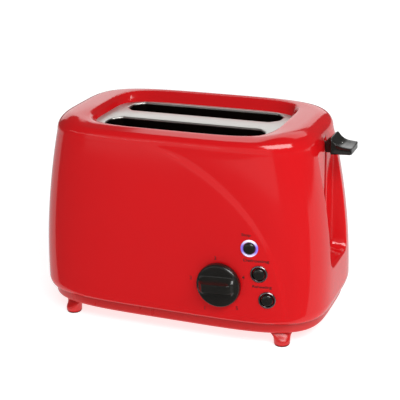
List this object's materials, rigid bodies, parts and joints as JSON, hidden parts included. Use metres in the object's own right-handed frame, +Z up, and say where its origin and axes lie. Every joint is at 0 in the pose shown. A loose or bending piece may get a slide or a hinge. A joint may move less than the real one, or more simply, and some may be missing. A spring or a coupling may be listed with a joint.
{
  "type": "pop up toaster",
  "caption": "Pop up toaster with two long bread slots, side lift lever, browning dial, push buttons and slide-out crumb tray.",
  "frame": {"origin": "on the surface it stands on, under the middle of the whole outline", "axes": "+X along the length towards the lever, -Y towards the dial and buttons, +Z up"},
  "size_m": [0.2812, 0.1698, 0.1851],
  "materials": {
    "red_shell": "glossy moulded red thermoplastic",
    "brushed_plate": "bright rolled stainless sheet",
    "red_base": "satin moulded red thermoplastic",
    "rubber": "matt",
    "steel": "zinc plated",
    "tray_steel": "aluminised sheet",
    "chassis_steel": "aluminised sheet",
    "mica": "pressed mica sheet",
    "ribbon": "oxidised resistance ribbon",
    "wire_steel": "plated wire",
    "black_plastic": "glossy moulded black thermoplastic",
    "copper": "enamelled copper wire",
    "board": "paper laminate",
    "board_parts": "moulded",
    "light_ring": "clear moulded light guide",
    "bezel_chrome": "bright plated ring",
    "led": "clear epoxy"
  },
  "bodies": {
    "shell": {"housing_front": "red_shell", "housing_rear": "red_shell", "housing_left_end": "red_shell", "housing_right_end": "red_shell", "lever_channel": "red_shell", "slot_plate": "brushed_plate", "base": "red_base", "feet": "red_base", "foot_pads": "rubber", "base_screws": "steel", "left_chassis_plate": "chassis_steel", "right_chassis_plate": "chassis_steel", "front_heat_shield": "chassis_steel", "rear_heat_shield": "chassis_steel", "front_heater_board": "mica", "front_heating_ribbon": "ribbon", "middle_heater_board": "mica", "middle_heating_ribbon": "ribbon", "rear_heater_board": "mica", "rear_heating_ribbon": "ribbon", "guide_rod": "steel", "lift_spring": "steel", "magnet_core": "steel", "magnet_coil": "copper", "power_board": "board", "main_switch": "black_plastic", "control_board": "board", "control_board_screws": "steel", "potentiometer": "board_parts", "cancel_bezel": "light_ring", "defrost_bezel": "bezel_chrome", "reheat_bezel": "bezel_chrome", "tact_switches": "board_parts", "indicator_led": "led", "cord_inlet": "rubber"},
    "lift": {"carriage": "chassis_steel", "lever_arm": "chassis_steel", "lever_knob": "black_plastic", "armature_plate": "steel", "front_bread_rack": "wire_steel", "rear_bread_rack": "wire_steel"},
    "dial": {"browning_dial": "black_plastic", "dial_shaft": "steel"},
    "tray": {"crumb_tray": "tray_steel", "crumb_tray_grip": "red_base"},
    "front_inner": {"front_inner_guide": "wire_steel"},
    "front_outer": {"front_outer_guide": "wire_steel"},
    "rear_inner": {"rear_inner_guide": "wire_steel"},
    "rear_outer": {"rear_outer_guide": "wire_steel"},
    "cancel": {"cancel_button": "black_plastic"},
    "defrost": {"defrost_button": "black_plastic"},
    "reheat": {"reheat_button": "black_plastic"}
  },
  "joints": [
    {"name": "lever_lift", "type": "slide", "parent": "shell", "child": "lift", "axis": [0, 0, -1], "range_m": [0, 0.08], "stiffness_N_per_m": 45, "springref_m": -0.09, "deforming": ["lift_spring"]},
    {"name": "dial_turn", "type": "hinge", "parent": "shell", "child": "dial", "pos_m": [0.0452, -0.07066, 0.0566], "axis": [0.0252, -0.9984, 0.051], "range_deg": [-55, 241]},
    {"name": "tray_slide", "type": "slide", "parent": "shell", "child": "tray", "axis": [0, 1, 0], "range_m": [0, 0.115]},
    {"name": "cancel_press", "type": "slide", "parent": "shell", "child": "cancel", "axis": [-0.1094, 0.9919, -0.0651], "range_m": [0, 0.0015], "stiffness_N_per_m": 500, "springref_m": -0.001},
    {"name": "defrost_press", "type": "slide", "parent": "shell", "child": "defrost", "axis": [-0.147, 0.9873, -0.06], "range_m": [0, 0.0015], "stiffness_N_per_m": 500, "springref_m": -0.001},
    {"name": "reheat_press", "type": "slide", "parent": "shell", "child": "reheat", "axis": [-0.1911, 0.9802, -0.0523], "range_m": [0, 0.0015], "stiffness_N_per_m": 500, "springref_m": -0.001},
    {"name": "front_inner_guide_lean", "type": "hinge", "parent": "shell", "child": "front_inner", "pos_m": [-0.0054, -0.0059, 0.046], "axis": [1, 0, 0], "range_deg": [0, 4.6]},
    {"name": "front_outer_guide_lean", "type": "hinge", "parent": "shell", "child": "front_outer", "pos_m": [-0.0054, -0.0318, 0.046], "axis": [1, 0, 0], "range_deg": [-4.6, 0]},
    {"name": "rear_inner_guide_lean", "type": "hinge", "parent": "shell", "child": "rear_inner", "pos_m": [-0.0054, 0.0177, 0.046], "axis": [1, 0, 0], "range_deg": [-4.6, 0]},
    {"name": "rear_outer_guide_lean", "type": "hinge", "parent": "shell", "child": "rear_outer", "pos_m": [-0.0054, 0.0436, 0.046], "axis": [1, 0, 0], "range_deg": [0, 4.6]}
  ],
  "couplings": [
    {"joint": "front_inner_guide_lean", "follows": "lever_lift", "rad_per_m": 0.98175},
    {"joint": "front_outer_guide_lean", "follows": "lever_lift", "rad_per_m": -0.98175},
    {"joint": "rear_inner_guide_lean", "follows": "lever_lift", "rad_per_m": -0.98175},
    {"joint": "rear_outer_guide_lean", "follows": "lever_lift", "rad_per_m": 0.98175}
  ]
}
